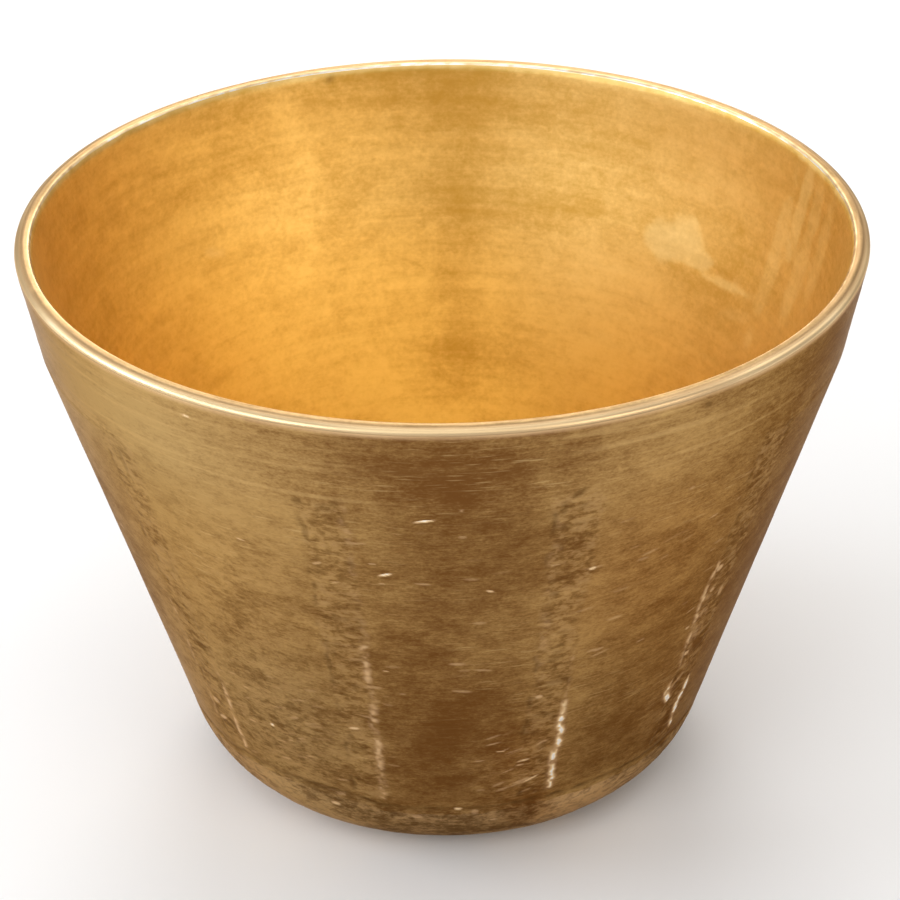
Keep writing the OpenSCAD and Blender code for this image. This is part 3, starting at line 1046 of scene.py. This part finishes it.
COLLAR = patinated("turned_brass", PLAIN_PATINA, 0.16, 60 * MM, 0.42, (0.30, 0.40))
WALL = patinated("sanded_brass", PLAIN_PATINA)
SEAM = patinated("seam_braze", PLAIN_PATINA)
LIP = patinated("lip_brass", LIP_PATINA, 0.16, 60 * MM, rough=(0.38, 0.46))
BASE = patinated("pan_brass", PAN_PATINA, rough=(0.40, 0.52), spread=0.20)
INNER = inner_brass()
JOINT = joint_brass()


# ---------------------------------------------------------------- pieces
def add_piece(name, patch, outer, node, slot, *others):
    """Adds a piece in place of a CAD node, with the material of its outer face."""
    piece = patch.build(name, [outer, INNER, JOINT, *others])
    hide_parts(node)
    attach(piece, "root")


add_piece("collar_visual", rim_collar(), COLLAR, "rim_collar", "turned_brass", LIP)
add_piece("collar_ring_visual", ring_seam("collar", COLLAR_RING_ROWS), WALL, "collar_ring_seam",
          "seam_braze")
for i, node in enumerate(STAVES):
    add_piece(f"stave_{i + 1:02d}_visual", wall_stave(i), WALL, node, "wall_brass")
for i, node in enumerate(SEAMS):
    add_piece(f"seam_{i + 1:02d}_visual", upright_seam(i), SEAM, node, "seam_braze")
add_piece("base_ring_visual", ring_seam("base", BASE_RING_ROWS), SEAM, "base_ring_seam",
          "seam_braze")
add_piece("base_pan_visual", base_pan(), BASE, "base_pan", "base_brass")


# ---------------------------------------------------------------- floor, light and camera
FLOOR_SIZE = 12
FLOOR_GREY = (0.86, 0.86, 0.86, 1)
WORLD_STRENGTH = 0.46
SOFTBOX_SIZE, SOFTBOX_DISTANCE, SOFTBOX_TARGET = 1.0, 1.7, Vector((0, 0, 0.08))
# Name, azimuth (0 in front, 90 on the +X side), elevation, radiance, colour
SOFTBOXES = [
    ("back", 180, 25, 4, (1, 1, 1)),
    ("high_back", 180, 50, 1.5, (1, 1, 1)),
    ("left", 270, 25, 4, (0.95, 1.01, 1.10)),
    ("front_left", 315, 25, 3, (0.98, 1.01, 1.04)),
    ("front_right", 45, 25, 2, (1.0, 0.89, 0.76)),
    ("high_front", 0, 50, 1.1, (1, 1, 1)),
    ("high_left", 240, 46, 1.2, (1, 1, 1)),
    ("high_right", 120, 46, 1.2, (1.0, 0.94, 0.86)),
    ("overhead", 0, 88, 1.2, (1, 1, 1)),
]
# The camera stands 5.3 rim radii in front of the axis, 3.95 above the floor, and looks down 31 degrees
CAMERA_PLACE = (0, -5.3 * 101.5 * MM, 3.9543 * 101.5 * MM)
CAMERA_PITCH, CAMERA_ROLL, CAMERA_YAW = 0.5372, -0.0092, 0.0026
CAMERA_LENS, CAMERA_SENSOR = 99.05, 36


def make_floor():
    bpy.ops.mesh.primitive_plane_add(size=FLOOR_SIZE)
    floor = bpy.context.object
    floor.name = "floor"
    material = bpy.data.materials.new("pale_floor")
    material.use_nodes = True
    shader = material.node_tree.nodes["Principled BSDF"]
    shader.inputs["Base Color"].default_value = FLOOR_GREY
    shader.inputs["Roughness"].default_value = 0.8
    floor.data.materials.append(material)


def make_softbox(name, azimuth, elevation, radiance, colour):
    """A round lamp of that radiance, aimed at the pot."""
    turn, rise = math.radians(azimuth), math.radians(elevation)
    aim = Vector((math.sin(turn) * math.cos(rise), -math.cos(turn) * math.cos(rise), math.sin(rise)))
    light = bpy.data.lights.new(name, "AREA")
    light.shape = "DISK"
    light.size = SOFTBOX_SIZE
    light.energy = radiance * math.pi * math.pi * (SOFTBOX_SIZE / 2) ** 2
    light.color = colour
    lamp = bpy.data.objects.new(name, light)
    lamp.location = aim * SOFTBOX_DISTANCE + SOFTBOX_TARGET
    lamp.rotation_euler = aim.to_track_quat("Z", "Y").to_euler()
    bpy.context.scene.collection.objects.link(lamp)


def make_world():
    world = bpy.data.worlds.new("studio")
    world.use_nodes = True
    background = world.node_tree.nodes["Background"]
    background.inputs["Color"].default_value = (1, 1, 1, 1)
    background.inputs["Strength"].default_value = WORLD_STRENGTH
    bpy.context.scene.world = world


def make_camera():
    pitch, roll, yaw = CAMERA_PITCH, CAMERA_ROLL, CAMERA_YAW
    ahead = Vector((math.sin(yaw) * math.cos(pitch), math.cos(yaw) * math.cos(pitch),
                    -math.sin(pitch)))
    right = Vector((math.cos(yaw), -math.sin(yaw), 0))
    up = right.cross(ahead)
    tilted_right = math.cos(roll) * right + math.sin(roll) * up
    tilted_up = -math.sin(roll) * right + math.cos(roll) * up
    camera = bpy.data.cameras.new("camera")
    camera.sensor_width = CAMERA_SENSOR
    camera.lens = CAMERA_LENS
    holder = bpy.data.objects.new("camera", camera)
    turn = Matrix((tilted_right, tilted_up, -ahead)).transposed().to_4x4()
    holder.matrix_world = Matrix.Translation(CAMERA_PLACE) @ turn
    bpy.context.scene.collection.objects.link(holder)
    bpy.context.scene.camera = holder


make_floor()
make_world()
for softbox in SOFTBOXES:
    make_softbox(*softbox)
make_camera()
bpy.context.scene.view_settings.view_transform = "Standard"
